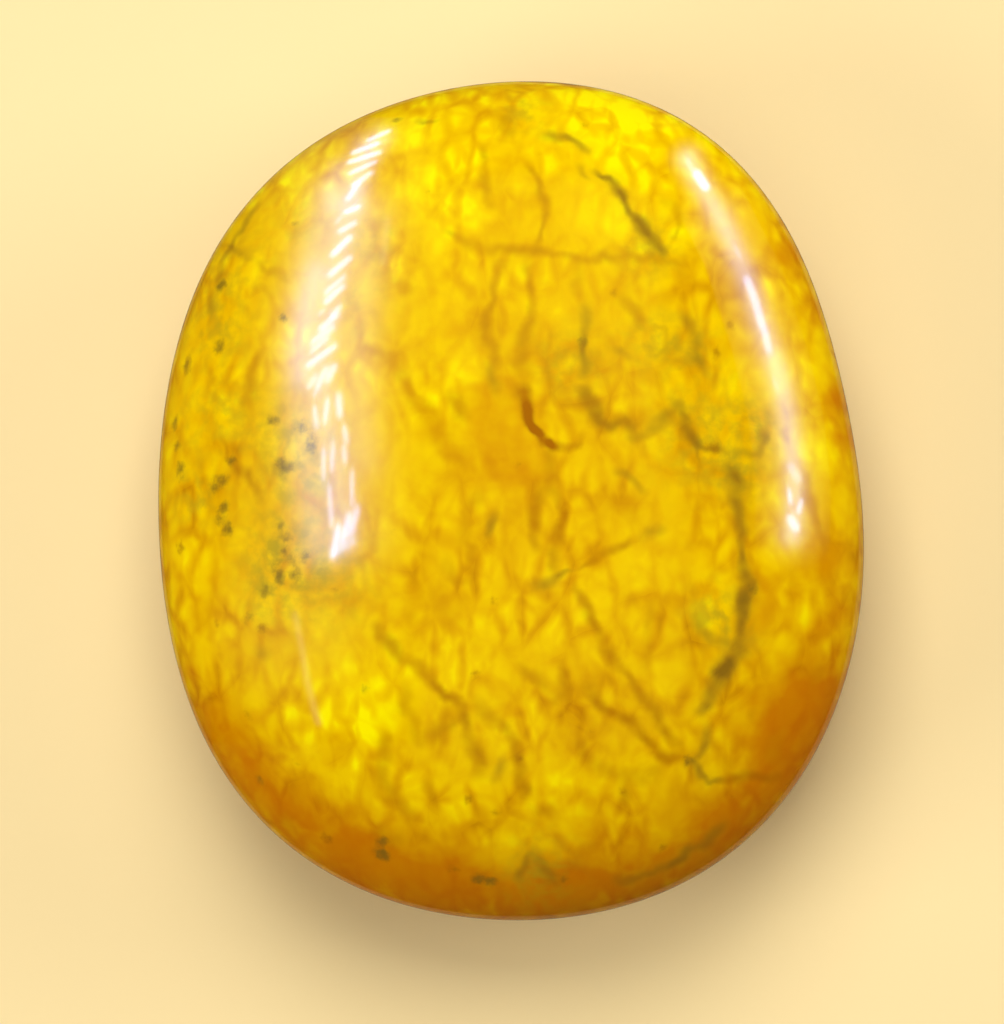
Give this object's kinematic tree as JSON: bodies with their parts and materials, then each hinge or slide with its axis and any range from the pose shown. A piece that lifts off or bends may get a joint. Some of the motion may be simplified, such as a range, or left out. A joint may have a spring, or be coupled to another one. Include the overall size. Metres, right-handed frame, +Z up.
{
  "type": "oval beryl palm stone",
  "caption": "Hand-polished oval palm stone of veined yellow mineral, with a domed face, a rounded edge and a small flat spot to rest on.",
  "frame": {"origin": "under the middle of the stone's box, on the surface that its flat spot rests on", "axes": "+X along the width, +Y along the length, +Z up out of the domed face"},
  "size_m": [0.0524, 0.0622, 0.022],
  "materials": {
    "polished_stone": "high polish, opaque veined yellow"
  },
  "bodies": {
    "root": {"stone": "polished_stone"}
  },
  "joints": []
}
